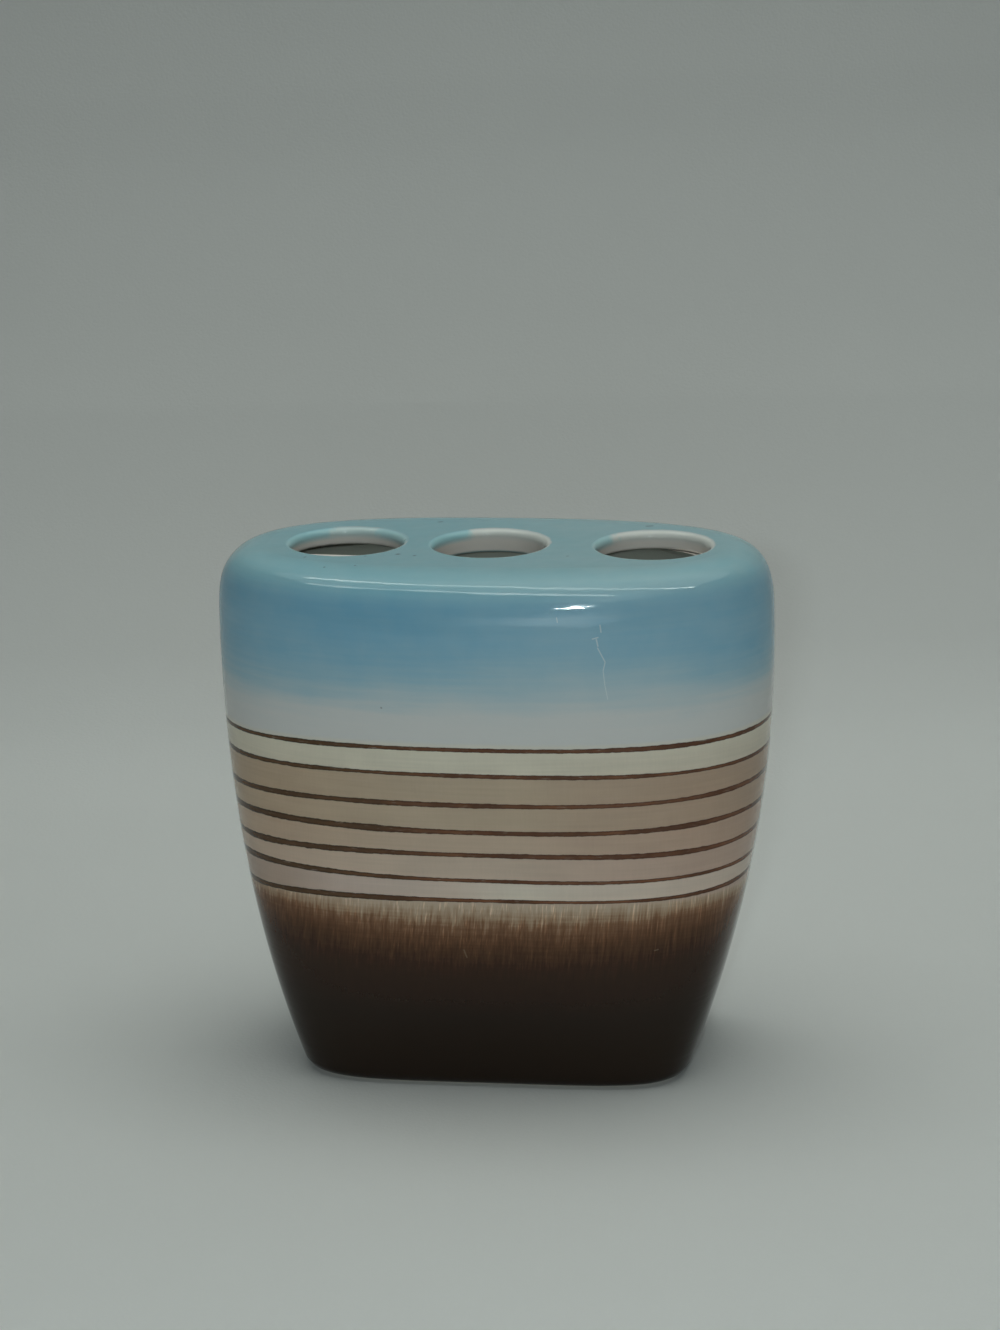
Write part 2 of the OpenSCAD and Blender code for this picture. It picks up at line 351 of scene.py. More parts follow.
def skin_marks(points):
    """What the glazes need to know about each point: which painted line it is at
    (band, whole at each line's middle), how far it is from the nearest line in half
    strokes (stroke), and how deep it lies under the skin in millimetres (depth)."""
    x, y, z = points.T
    half_w, half_d, power = wall_form(z)
    direction = np.arctan2(y / half_d, x / half_w)
    middles = np.array([line_middle(line, direction) for line in range(LINE_COUNT)])
    halves = np.array([line_half(line, direction) for line in range(LINE_COUNT)])
    ends = [middles[0] + LINE_SPACING, *middles, middles[-1] - LINE_SPACING]
    band = np.full(len(z), LINE_COUNT, float)
    for i, (above, below) in enumerate(zip(ends, ends[1:])):
        inside = (z <= above) & (z > below)
        band = np.where(inside, i - 1 + (above - z) / (above - below), band)
    band = np.where(z > ends[0], -1, band)
    stroke = np.min(np.abs(z - middles) / halves, axis=0)
    reach = (np.abs(x / half_w) ** power + np.abs(y / half_d) ** power) ** (1 / power)
    depth = np.minimum((1 - reach) * half_d, BODY_H - z)
    return {"band": band, "stroke": stroke, "depth": depth}


def drop_repeats(corners, face):
    """A face without the corners that fell together with the one before them."""
    kept = [i for i in range(len(corners)) if corners[i] != corners[i - 1]]
    return [corners[i] for i in kept], [face[i] for i in kept]


def rows_between(low, high, step=ROW_H):
    """Levels from one edge to another, each a function of the direction."""
    span = float(np.max(high(ANGLES) - low(ANGLES)))
    count = max(3, math.ceil(span / step) + 1)
    return [mix(low(ANGLES), high(ANGLES), i / (count - 1)) for i in range(count)]


def bend_levels(count):
    """Levels round the shoulder, closer together where it turns most."""
    return [SHOULDER_Z + BEND_TURN * i / count for i in range(count + 1)]


def skin_band(name, material, bands):
    """A coat: one closed ring for each (lower edge, upper edge)."""
    solid = Solid()
    for low, high in bands:
        rows = rows_between(low, high)
        solid.sweep(skin, ANGLES, rows)
        solid.sweep(under_skin(COAT_T), ANGLES, rows[::-1])
        step_between(solid, rows[-1], 0, COAT_T)
        step_between(solid, rows[0], COAT_T, 0)
    return solid.build(name, material)


def step_between(solid, level, inset, end_inset):
    """The narrow face across a coat's thickness at one level."""
    lead = math.copysign(1, end_inset - inset)

    def face(direction, step):
        return skin(direction, level, inset + lead * step)

    solid.sweep(face, ANGLES, [0, abs(end_inset - inset)])


def quarter(count):
    """Even turns from 0 to a right angle."""
    return [math.pi / 2 * i / count for i in range(count + 1)]


def lip_reach(direction):
    """How far a hole's soft lip spreads: least at its front, most at its back."""
    return mix(LIP_FRONT, LIP_ROUND, (1 + np.sin(direction)) / 2)


def lip_surfaces(x):
    """The flat ring round a hole's lip, by a step of 0 to 1, and the lip itself, by a
    turn of 0 to a right angle."""
    def ring(direction, step):
        r = mix(RIM_R, HOLE_R + lip_reach(direction), step)
        return round_point(x, direction, r, BODY_H)

    def lip(direction, turn):
        r = HOLE_R + lip_reach(direction) * (1 - np.sin(turn))
        z = BODY_H - LIP_ROUND * (1 - np.cos(turn))
        return round_point(x, direction, r, z)

    return ring, lip


def foot_surfaces(solid):
    """The recess, the bare ring, and the strip below the brown coat."""
    def recess_wall(direction, step):
        down = np.stack([0 * step, 0 * step, -step], -1)
        return skin(direction, 0, FOOT_RING_W) + down

    def bare_ring(direction, step):
        return skin(direction, 0, FOOT_RING_W - step)

    ceiling = skin(ANGLES, 0, FOOT_RING_W) + [0, 0, FOOT_RECESS]
    solid.cap(ceiling, [circle(0, CASTING_R, FOOT_RECESS)], -1)
    solid.sweep(recess_wall, ANGLES, [-FOOT_RECESS, 0])
    solid.sweep(bare_ring, ANGLES, [0, FOOT_RING_W])
    solid.sweep(skin, ANGLES, rows_between(level_at(0), level_at(BROWN_LOW_Z), FOOT_ROW_H))


def wall_surfaces(solid):
    """Out to the skin where it is white, and in to the lining under a coat."""
    spans = [
        (level_at(BROWN_LOW_Z), line_edge(6, 1), COAT_T),
        (line_edge(6, 1), line_edge(5, -1), 0),
        (line_edge(5, -1), line_edge(1, 1), COAT_T),
        (line_edge(1, 1), line_edge(0, -1), 0),
        (line_edge(0, -1), line_edge(0, 1), COAT_T),
        (line_edge(0, 1), level_at(BLUE_LOW_Z), 0),
        (level_at(BLUE_LOW_Z), level_at(SHOULDER_Z), COAT_T),
    ]
    inset = 0
    for low, high, depth in spans:
        if depth != inset:
            step_between(solid, low(ANGLES), inset, depth)
        solid.sweep(under_skin(depth), ANGLES, rows_between(low, high))
        inset = depth


def top_surfaces(solid):
    """Under the blue coat, round the rims, and down through the holes."""
    lining = under_skin(COAT_T, BODY_H - COAT_T)
    solid.sweep(lining, ANGLES, bend_levels(LINING_BEND_ROWS))
    solid.cap(lining(ANGLES, SHOULDER_Z + BEND_TURN), rims(BODY_H - COAT_T), 1)
    for x, roof_rise in zip(HOLE_XS, HOLE_ROOF_RISES):
        roof = ROOF_Z + roof_rise
        solid.turned(x, [(RIM_R, BODY_H - COAT_T), (RIM_R, BODY_H)])
        ring, lip = lip_surfaces(x)
        solid.sweep(ring, HOLE_ANGLES, [0, 1])
        solid.sweep(lip, HOLE_ANGLES, quarter(LIP_ROWS))
        solid.turned(x, [(HOLE_R, BODY_H - LIP_ROUND), (HOLE_R, roof + UNDER_ROUND)])
        solid.turned_smooth(x, [
            (
                HOLE_R + UNDER_ROUND * (1 - math.cos(t)), roof + UNDER_ROUND * (1 - math.sin(t)),
                -math.cos(t), -math.sin(t),
            )
            for t in quarter(UNDER_ROWS)
        ])


def hollow_surfaces(solid):
    """The hollow from its roof down to its floor, and the casting hole."""
    cavity = under_skin(WALL_T, ROOF_Z)
    roof_holes = [
        circle(x, HOLE_R + UNDER_ROUND, ROOF_Z + rise)
        for x, rise in zip(HOLE_XS, HOLE_ROOF_RISES)
    ]
    solid.cap(cavity(ANGLES, SHOULDER_Z + BEND_TURN), roof_holes, -1)
    solid.sweep(cavity, ANGLES, bend_levels(HOLLOW_BEND_ROWS)[::-1])
    low, high = level_at(FLOOR_Z + INNER_ROUND), level_at(SHOULDER_Z)
    solid.sweep(under_skin(WALL_T), ANGLES, rows_between(low, high, HOLLOW_ROW_H)[::-1])
    solid.sweep(floor_round, ANGLES, quarter(FLOOR_ROWS)[::-1])
    solid.cap(floor_round(ANGLES, 0 * ANGLES), [circle(0, CASTING_R, FLOOR_Z)], 1)
    solid.turned(0, [(CASTING_R, FLOOR_Z), (CASTING_R, FOOT_RECESS)])


def floor_round(direction, turn):
    """The rounding between the hollow's floor, turn 0, and its wall, a quarter turn."""
    z = FLOOR_Z + INNER_ROUND * (1 - np.cos(turn))
    return skin(direction, z, WALL_T + INNER_ROUND * (1 - np.sin(turn)))


def body_shell(material):
    solid = Solid()
    foot_surfaces(solid)
    wall_surfaces(solid)
    top_surfaces(solid)
    hollow_surfaces(solid)
    return solid.build("body_shell", material)


def blue_coat(material):
    """The coat over the shoulders and the top, open round the rims of the holes."""
    solid = Solid()
    lining = under_skin(COAT_T, BODY_H - COAT_T)
    rows = rows_between(level_at(BLUE_LOW_Z), level_at(SHOULDER_Z), BLUE_ROW_H)
    solid.sweep(skin, ANGLES, rows)
    solid.sweep(skin, ANGLES, bend_levels(BEND_ROWS))
    solid.cap(skin(ANGLES, SHOULDER_Z + BEND_TURN), rims(BODY_H), 1)
    for x in HOLE_XS:
        solid.turned(x, [(RIM_R, BODY_H), (RIM_R, BODY_H - COAT_T)])
    solid.cap(lining(ANGLES, SHOULDER_Z + BEND_TURN), rims(BODY_H - COAT_T), -1)
    solid.sweep(lining, ANGLES, bend_levels(LINING_BEND_ROWS)[::-1])
    solid.sweep(under_skin(COAT_T), ANGLES, rows[::-1])
    step_between(solid, BLUE_LOW_Z + 0 * ANGLES, COAT_T, 0)
    return solid.build("blue_coat", material)


def stopper(material):
    """A soft flange and a hollow plug, with rounded edges and a bar to pull."""
    low = FOOT_RECESS - FLANGE_T
    hollow = PLUG_R - PLUG_WALL
    ceiling = PLUG_TOP_Z - PLUG_WALL
    r = STOPPER_ROUND

    def corner(centre_r, centre_z, start, end):
        shares = [i / CORNER_ROWS for i in range(CORNER_ROWS + 1)]
        turns = [math.radians(mix(start, end, share)) for share in shares]
        return [(centre_r + r * math.cos(t), centre_z + r * math.sin(t)) for t in turns]

    section = [(0.0, PLUG_TOP_Z)]
    section += corner(PLUG_R - PLUG_WALL / 2, PLUG_TOP_Z - r, 90, 45)
    section += corner(PLUG_R - r, ceiling - r / 2, 30, 0)
    section += [(PLUG_R, FOOT_RECESS), (FLANGE_R - r, FOOT_RECESS)]
    section.append((FLANGE_R, FOOT_RECESS - r / 2))
    section += corner(FLANGE_R - r, low + r, 0, -90)
    section += corner(hollow + r, low + r, -90, -180)
    section += corner(hollow - r, ceiling - r, 0, 90)
    section.append((0.0, ceiling))
    section.reverse()
    steps = np.gradient(np.array(section), axis=0)
    square = np.stack([steps[:, 1], -steps[:, 0]], -1)
    square /= np.linalg.norm(square, axis=-1, keepdims=True)
    solid = Solid()
    solid.turned_smooth(0, [(*point, *normal) for point, normal in zip(section, square)])
    pull_bar(solid, hollow + PLUG_WALL / 2, low + STOPPER_ROUND)
    return solid.build("stopper", material)


def pull_bar(solid, reach, low):
    """The bar across the plug's mouth, with softened long edges."""
    half_w, half_h = BAR_W / 2, BAR_H / 2
    turns = np.arange(BAR_AROUND) * 2 * math.pi / BAR_AROUND
    c, s = np.cos(turns), np.sin(turns)
    flatness = 9
    side, face = np.clip(c * flatness, -1, 1), np.clip(s * flatness, -1, 1)
    across = side * (half_w - BAR_ROUND) + BAR_ROUND * c
    rise = face * (half_h - BAR_ROUND) + BAR_ROUND * s + low + half_h
    rows, normals = [], []
    for x in np.linspace(-reach, reach, BAR_ROWS):
        rows.append(np.stack([x + 0 * c, across, rise], -1))
        normals.append(np.stack([0 * c, c, s], -1))
    solid.grid(np.array(rows), np.array(normals))


# Colours are linear. The glaze's own white, and what the blue lets through at its
# deepest, are what the paint below is mixed from.
WHITE = (0.675, 0.675, 0.668)
CREAM = (0.745, 0.69, 0.56)
# The top's filter is greener than the wall's, and lighter as painted light from above
BLUE_FILTER, LIT_TOP_FILTER = (0.372, 0.72, 0.952), (0.465, 0.83, 0.95)
HOLE_WALL = (0.93, 0.86, 0.80)
CLAY_DARK, CLAY = (0.6, 0.53, 0.43), (0.66, 0.6, 0.5)
INSIDE = (0.6, 0.62, 0.55)
# The lines' paint where it lies thick and thin, and at the left where it is thickest,
# and the darker edges of the strokes at the right and at the left
PAINT_THICK, PAINT_THIN = (0.10, 0.030, 0.006), (0.21, 0.074, 0.026)
PAINT_LEFT = (0.075, 0.034, 0.006)
EDGE_RIGHT, EDGE_LEFT = (0.075, 0.018, 0.003), (0.04, 0.018, 0.003)
# Depths of blue at which its filter is worked out
SHARES = (0, 0.25, 0.5, 0.75, 1, 1.2)


class Tree:
    """A material's node tree. A method that works out a value or a colour returns
    the socket that it comes out of."""

    def __init__(self, name):
        self.material = bpy.data.materials.new(name)
        self.material.use_nodes = True
        self.tree = self.material.node_tree
        self.shader = self.tree.nodes["Principled BSDF"]

    def node(self, kind, **settings):
        made = self.tree.nodes.new(kind)
        for key, value in settings.items():
            setattr(made, key, value)
        return made

    def feed(self, socket, value):
        if isinstance(value, bpy.types.NodeSocket):
            self.tree.links.new(value, socket)
        elif isinstance(value, tuple) and socket.type == "RGBA":
            socket.default_value = (*value, 1)
        else:
            socket.default_value = value

    def results(self, kind, *values, **settings):
        """All the sockets out of a new node with these values on its first ones."""
        made = self.node(kind, **settings)
        for socket, value in zip(made.inputs, values):
            self.feed(socket, value)
        return made.outputs

    def math(self, operation, *values):
        return self.results("ShaderNodeMath", *values, operation=operation)[0]

    def chain(self, operation, first, *others):
        for value in others:
            first = self.math(operation, first, value)
        return first

    def add(self, *values):
        return self.chain("ADD", *values)

    def times(self, *values):
        return self.chain("MULTIPLY", *values)

    def step(self, value, low, high):
        """0 below low and 1 above high, or the other way round if low is higher."""
        kind, bend = "ShaderNodeMapRange", "SMOOTHSTEP"
        return self.results(kind, value, low, high, interpolation_type=bend)[0]

    def split(self, place):
        return self.results("ShaderNodeSeparateXYZ", place)

    def place(self):
        """The place on the part, in millimetres."""
        return self.scaled(self.own_place(), 1 / MM)

    def own_place(self):
        return self.node("ShaderNodeTexCoord").outputs["Object"]

    def mark(self, name):
        return self.node("ShaderNodeAttribute", attribute_name=name).outputs["Fac"]

    def noise(self, place, stretch, detail=2.0, shift=0.0):
        """Noise around 0, about as strong as -1 to 1. The stretch is in waves a
        millimetre, for all axes or each, and the shift picks a part of the noise."""
        moved = self.node("ShaderNodeMapping")
        self.feed(moved.inputs["Vector"], place)
        moved.inputs["Location"].default_value = (shift, shift, shift)
        scale = stretch if isinstance(stretch, tuple) else (stretch,) * 3
        moved.inputs["Scale"].default_value = scale
        made = self.node("ShaderNodeTexNoise")
        self.feed(made.inputs["Vector"], moved.outputs[0])
        self.feed(made.inputs["Scale"], 1.0)
        self.feed(made.inputs["Detail"], detail)
        return self.math("MULTIPLY_ADD", made.outputs[0], 4.0, -2.0)

    def ramp(self, value, low, high, stops):
        """A colour from (value, colour) stops between low and high."""
        made = self.node("ShaderNodeValToRGB")
        self.feed(made.inputs[0], self.results("ShaderNodeMapRange", value, low, high)[0])
        elements = made.color_ramp.elements
        while len(elements) < len(stops):
            elements.new(0.5)
        ends = sorted(((at - low) / (high - low), color) for at, color in stops)
        for element, (at, color) in zip(elements, ends):
            element.position = at
            element.color = (*color, 1)
        return made.outputs[0]

    def curve(self, value, low, high, stops):
        """A number from (value, number) stops."""
        return self.ramp(value, low, high, [(at, (number,) * 3) for at, number in stops])

    def blend(self, share, a, b, how="MIX"):
        made = self.node("ShaderNodeMix", data_type="RGBA", blend_type=how)
        self.feed(made.inputs[0], share)
        self.feed(made.inputs[6], a)
        self.feed(made.inputs[7], b)
        return made.outputs[2]

    def scaled(self, vector, share):
        made = self.node("ShaderNodeVectorMath", operation="SCALE")
        self.feed(made.inputs[0], vector)
        self.feed(made.inputs["Scale"], share)
        return made.outputs[0]

    def bump(self, height, depth_mm, under=None):
        made = self.node("ShaderNodeBump")
        self.feed(made.inputs["Height"], height)
        self.feed(made.inputs["Distance"], depth_mm * MM)
        if under is not None:
            self.feed(made.inputs["Normal"], under)
        return made.outputs[0]

    def one_sided(self):
        """Makes the surface clear from behind, so that a backdrop hides nothing."""
        clear = self.node("ShaderNodeBsdfTransparent")
        either = self.node("ShaderNodeMixShader")
        self.feed(either.inputs[0], self.node("ShaderNodeNewGeometry").outputs["Backfacing"])
        self.feed(either.inputs[1], self.shader.outputs[0])
        self.feed(either.inputs[2], clear.outputs[0])
        self.feed(self.tree.nodes["Material Output"].inputs["Surface"], either.outputs[0])

    def finish(self, color, roughness, normal):
        self.feed(self.shader.inputs["Base Color"], color)
        self.feed(self.shader.inputs["Roughness"], roughness)
        self.feed(self.shader.inputs["Normal"], normal)
        return self.material


def ground(t, place, x, band):
    """White above the lines, cream and tan between them, with brushed streaks."""
    streak = t.noise(place, (0.06, 0.06, 1.9), 3, 3)
    craze = t.noise(place, (2.6, 2.6, 0.25), 2, 11)
    cloud = t.noise(place, (0.09, 0.09, 0.16), 2, 23)
    at = t.add(band, t.times(streak, 0.03), t.times(cloud, 0.03))
    tans = [
        (-1, WHITE), (-0.3, WHITE), (0.02, CREAM), (0.95, CREAM),
        (1.05, (0.545, 0.435, 0.31)), (1.95, (0.55, 0.435, 0.31)),
        (2.05, (0.555, 0.44, 0.315)), (2.95, (0.56, 0.445, 0.32)),
        (3.05, (0.60, 0.465, 0.345)), (3.95, (0.60, 0.47, 0.35)),
        (4.05, (0.63, 0.505, 0.395)), (4.95, (0.65, 0.52, 0.41)),
        (5.05, (0.785, 0.71, 0.59)), (5.9, (0.785, 0.705, 0.575)),
        (6.1, (0.62, 0.50, 0.40)), (7, (0.62, 0.50, 0.40)),
    ]
    color = t.ramp(at, -1, 7, tans)
    across = [
        (-40, (0.95, 0.88, 0.86)), (-12, (0.955, 0.93, 0.95)), (8, (0.95, 0.92, 0.94)),
        (20, (0.92, 0.85, 0.87)), (40, (0.88, 0.78, 0.79)),
    ]
    strength = t.add(0.4, t.times(t.step(band, 0.9, 1.1), 0.6))
    washed = t.blend(strength, color, t.ramp(x, -40, 40, across), "MULTIPLY")
    low_wash = [
        (-40, (0.68, 0.60, 0.60)), (-28, (0.81, 0.74, 0.78)), (-6, (0.9, 0.82, 0.82)),
        (6, (1, 1, 1)),
    ]
    deeper = t.blend(1.0, washed, t.ramp(x, -40, 6, low_wash), "MULTIPLY")
    between = t.times(t.step(band, 4.9, 5.1), t.step(band, 6.05, 5.95))
    washed = t.blend(between, washed, deeper)
    tinted = t.step(band, -0.2, 0.5)
    shade = t.add(1.0, t.times(streak, 0.045), t.times(craze, 0.02), t.times(cloud, 0.05))
    return t.blend(tinted, color, t.scaled(washed, shade))


def brown_fade(t, place, x, z, color):
    """The dark coat, brushed upwards so that its edge breaks into fine hatching."""
    lean = t.node("ShaderNodeMapping")
    t.feed(lean.inputs["Vector"], place)
    lean.inputs["Rotation"].default_value = (0, math.radians(-6), 0)
    leaning = lean.outputs[0]
    fine = t.noise(leaning, (2.2, 2.2, 0.13), 3, 5)
    broad = t.noise(leaning, (0.6, 0.6, 0.07), 2, 17)
    brushed = t.noise(place, (0.12, 0.12, 2.2), 3, 19)
    hatch = t.add(t.times(fine, 1.8), t.times(broad, 0.6), t.times(brushed, 0.6))
    spreads = [(8, 0), (22, 0.5), (30, 1.1), (37, 1.0), (40, 0.6), (44, 0.1)]
    spread = t.curve(z, 8, 44, spreads)
    # Painted shade, with the brush's own spread: the brown's edge lies higher towards both ends,
    # between heights of about 10 and 46 mm, so the coat's sides are darker where they turn from the
    # light
    ends = [
        (-40, 3.8), (-34, 2.5), (-26, 1.0), (-14, 0), (18, 0), (28, 1.2), (36, 2.3), (40, 3.1),
    ]
    side_shade_and_spread = t.times(t.curve(x, -40, 40, ends), t.times(t.step(z, 10, 26), t.step(z, 46, 33)))
    at = t.math("SUBTRACT", t.add(z, t.times(hatch, spread)), side_shade_and_spread)
    browns = [
        (42, (0.62, 0.50, 0.40)), (39.4, (0.59, 0.455, 0.34)), (37.4, (0.44, 0.30, 0.20)),
        (35.4, (0.25, 0.127, 0.070)), (33, (0.152, 0.068, 0.033)),
        (30.6, (0.097, 0.041, 0.019)), (27, (0.041, 0.0145, 0.0078)),
        (24, (0.029, 0.0115, 0.0064)), (20, (0.022, 0.0086, 0.0057)),
        (16, (0.0127, 0.0067, 0.005)), (9, (0.011, 0.0045, 0.002)), (0, (0.011, 0.0045, 0.002)),
    ]
    dark = t.ramp(at, 0, 42, browns)
    hair = t.step(t.noise(leaning, (2.8, 2.8, 0.16), 2, 29), 0.1, 1.3)
    hairs = t.times(hair, t.step(z, 23, 31))
    dark = t.scaled(dark, t.add(0.9, t.times(hairs, 0.8)))
    return t.blend(t.step(z, 41.2, 39.6), color, dark)


def painted_strokes(t, place, x, band, stroke, color):
    """Ragged brown strokes, darker at their edges than in the middle. They are
    broader at the left, where the loaded brush was set down."""
    rough = t.noise(place, (0.7, 0.7, 1.6), 3, 31)
    press = t.noise(place, 0.12, 2, 41)
    left = t.step(x, 2, -34)
    last = LINE_COUNT - 0.5
    narrow, broad = (
        t.curve(band, -0.5, last, list(enumerate(widths))) for widths in STROKE_WIDTHS
    )
    width = t.add(t.times(narrow, t.add(1.0, t.times(left, -1))), t.times(broad, left))
    at = t.math("DIVIDE", stroke, width)
    at = t.add(at, t.times(rough, 0.16), t.times(press, 0.10))
    core = t.blend(t.step(press, -0.6, 0.8), PAINT_THICK, PAINT_THIN)
    core = t.blend(t.times(left, 0.7), core, PAINT_LEFT)
    edge = t.blend(left, EDGE_RIGHT, EDGE_LEFT)
    tone = t.blend(t.step(at, 0.3, 0.8), core, edge)
    worn = t.noise(place, (0.5, 0.5, 3.0), 2, 53)
    tone = t.blend(t.times(t.step(worn, 0.3, 1.4), 0.3), tone, color)
    return t.blend(t.step(at, 1.12, 0.9), color, tone)


def blue_depth(t, place, x, z):
    """How deep the blue lies: none below the shoulder, all of it on the top."""
    brushed = t.noise(place, (0.035, 0.035, 0.62), 3, 61)
    cloud = t.noise(place, (0.07, 0.07, 0.09), 2, 71)
    lifts = [
        (-50, 3.3), (-38, 2.1), (-28, 1.4), (-10, 0.8), (8, 0.3), (30, 0.4), (42, 1.2), (50, 1.9),
    ]
    at = t.add(z, t.curve(x, -50, 50, lifts), t.times(brushed, 1.3), t.times(cloud, 0.9))
    sharp = [(76.5, 0), (79, 0.04), (81.3, 0.18), (84.2, 0.48), (87, 0.74), (91, 1.0), (95, 1)]
    slow = [(75.5, 0), (78.4, 0.05), (81, 0.2), (84, 0.37), (87, 0.57), (91.5, 0.89), (95, 1)]
    right = t.times(t.step(x, -6, 10), t.step(x, 48, 36))
    depth = t.blend(right, t.curve(at, 75, 95, sharp), t.curve(at, 75, 95, slow))
    # From the shoulder's bend up, the blue lies deeper at the left and thinner at the middle right:
    # partly the coat's own load, partly painted shade at the left and a painted highlight at the
    # middle right
    loads_and_painted_light = [
        (-50, 1.0), (-38, 1.06), (-25, 1.13), (-10, 1.1),
        (5, 0.97), (20, 0.88), (35, 0.89), (50, 0.96),
    ]
    load = t.blend(t.step(z, 90, 96), (1.0, 1.0, 1.0), t.curve(x, -50, 50, loads_and_painted_light))
    streaks = t.noise(place, (0.05, 0.05, 1.1), 2, 83)
    mottle = t.noise(place, 0.22, 3, 97)
    uneven = t.add(1.0, t.times(streaks, 0.05), t.times(mottle, 0.06), t.times(cloud, 0.05))
    return t.times(depth, load, uneven)


def hole_reaches(t, x, y):
    """The distance from each brush hole's axis."""
    reaches = []
    for hole_x in HOLE_XS:
        dx = t.add(x, -hole_x)
        reaches.append(t.math("SQRT", t.add(t.times(dx, dx), t.times(y, y))))
    return reaches


def rim_cover(t, place, x, y, z, reaches):
    """1 where the blue may lie, less on the lips and 0 on the walls of the holes."""
    ragged = t.noise(place, 0.45, 2, 101)
    cover = t.step(z, 90, 91)
    runs = zip(HOLE_XS, reaches, BLUE_RUNS_LEFT, BLUE_RUNS_RIGHT, LIP_MISTS)
    for hole_x, reach, left, right, mist in runs:
        from_lip = t.add(reach, t.times(y, -0.03), t.times(ragged, 0.2))
        outside = t.step(from_lip, 11.75, 12.4)
        side = t.add(x, -hole_x, t.times(ragged, 1.2))
        run_left = t.step(side, left + 1, left - 2.5)
        run_right = t.times(t.step(side, right - 0.5, right + 2.5), t.step(y, -2, 2))
        run_over = t.math("MAXIMUM", run_left, t.times(run_right, 0.8))
        run_over = t.math("MAXIMUM", run_over, mist)
        run_over = t.times(run_over, t.step(z, 102.6, 104.2))
        cover = t.times(cover, t.math("MAXIMUM", outside, run_over))
    return t.math("MAXIMUM", cover, t.step(z, 101, 100))


def scratch(t, x, z, start, end, half):
    """1 along a short straight scratch, fading to 0 beside it."""
    (x0, z0), (x1, z1) = start, end
    length = math.hypot(x1 - x0, z1 - z0)
    ux, uz = (x1 - x0) / length, (z1 - z0) / length
    dx, dz = t.add(x, -x0), t.add(z, -z0)
    along = t.add(t.times(dx, ux), t.times(dz, uz))
    aside = t.math("ABSOLUTE", t.add(t.times(dx, -uz), t.times(dz, ux)))
    beyond = t.math("ABSOLUTE", t.add(along, -length / 2))
    near = t.step(aside, half * 1.5, half * 0.5)
    return t.times(near, t.step(beyond, length / 2 + half, length / 2 - half))


def scratches(t, x, z, marks):
    """1 along any of the marks, each a start, an end and half a width."""
    marked = 0.0
    for start, end, half in marks:
        marked = t.math("MAXIMUM", marked, scratch(t, x, z, start, end, half))
    return marked


# Pale scratches and a dark speck in the front's blue, and nicks in the brown coat's
# edge: start, end and half width, as x and z on the front
PALE_MARKS = [
    ((23.6, 96.4), (23.8, 94.9), 0.12), ((22.1, 93.7), (23.3, 94.0), 0.11),
    ((22.9, 93.7), (23.2, 92.2), 0.12), ((23.1, 92.0), (24.5, 89.1), 0.1),
    ((24.5, 89.1), (24.1, 87.4), 0.09), ((24.1, 87.4), (24.4, 84.5), 0.08),
    ((24.4, 84.5), (24.9, 81.7), 0.07), ((15.5, 98.0), (15.7, 97.0), 0.09),
]
DARK_MARKS = [((-18.6, 79.7), (-18.3, 79.6), 0.16)]
NICKS = [((-3.9, 30.4), (-3.3, 28.6), 0.13), ((33.0, 30.2), (33.9, 30.4), 0.12)]
# Pits in the top's glaze: start, end and half width, as x and y on the top
PITS = [
    ((-35.5, -12.9), (-35.1, -12.6), 0.22), ((-17.9, -9.9), (-17.2, -9.4), 0.4),
    ((-14.4, -10.9), (-13.9, -10.4), 0.25), ((-23.9, -11.5), (-23.4, -11.3), 0.18),
    ((-30.5, -19.3), (-30.2, -19.1), 0.2), ((-24.6, -18.6), (-24.3, -18.4), 0.2),
    ((-29.8, 18.4), (-28.8, 18.7), 0.25), ((-13.6, 16.7), (-12.6, 17.0), 0.25),
    ((28.5, 15.1), (30.0, 15.5), 0.3), ((-18.3, 2.4), (-17.9, 2.7), 0.2),
    ((-7.6, -9.1), (-7.2, -8.9), 0.16), ((-4.1, -10.5), (-3.8, -10.3), 0.16),
    ((15.3, -9.6), (15.8, -9.4), 0.18), ((-30.6, -7.1), (-30.2, -6.9), 0.2),
]


